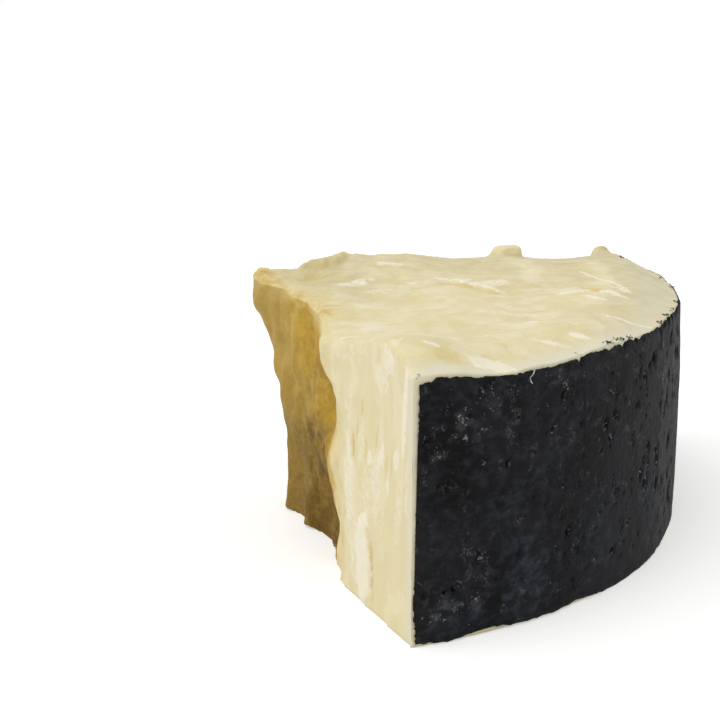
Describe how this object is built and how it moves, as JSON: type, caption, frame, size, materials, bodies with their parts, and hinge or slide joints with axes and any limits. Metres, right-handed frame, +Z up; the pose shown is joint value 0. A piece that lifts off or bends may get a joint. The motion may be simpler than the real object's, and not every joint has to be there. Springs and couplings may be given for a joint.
{
  "type": "hard cheese quarter",
  "caption": "Quarter of a thick slab of hard, black-coated ewe's-milk cheese: coated curved wall, cuts flat near the rind and broken further in, split domed top.",
  "frame": {"origin": "on the flat underside, below the centre of the quarter's bounding box", "axes": "+Z up out of the split top; +X along the line that halves the quarter, from the tip towards the coated wall; +Y towards the right-hand cut's end of the wall"},
  "size_m": [0.1436, 0.2198, 0.0837],
  "materials": {
    "paste": "ivory to straw cheese paste, waxy, granular where it has broken",
    "rind": "black coating on the rind, satin, pitted, with a pale bloom"
  },
  "bodies": {
    "root": {"cheese_quarter": "paste"}
  },
  "joints": []
}
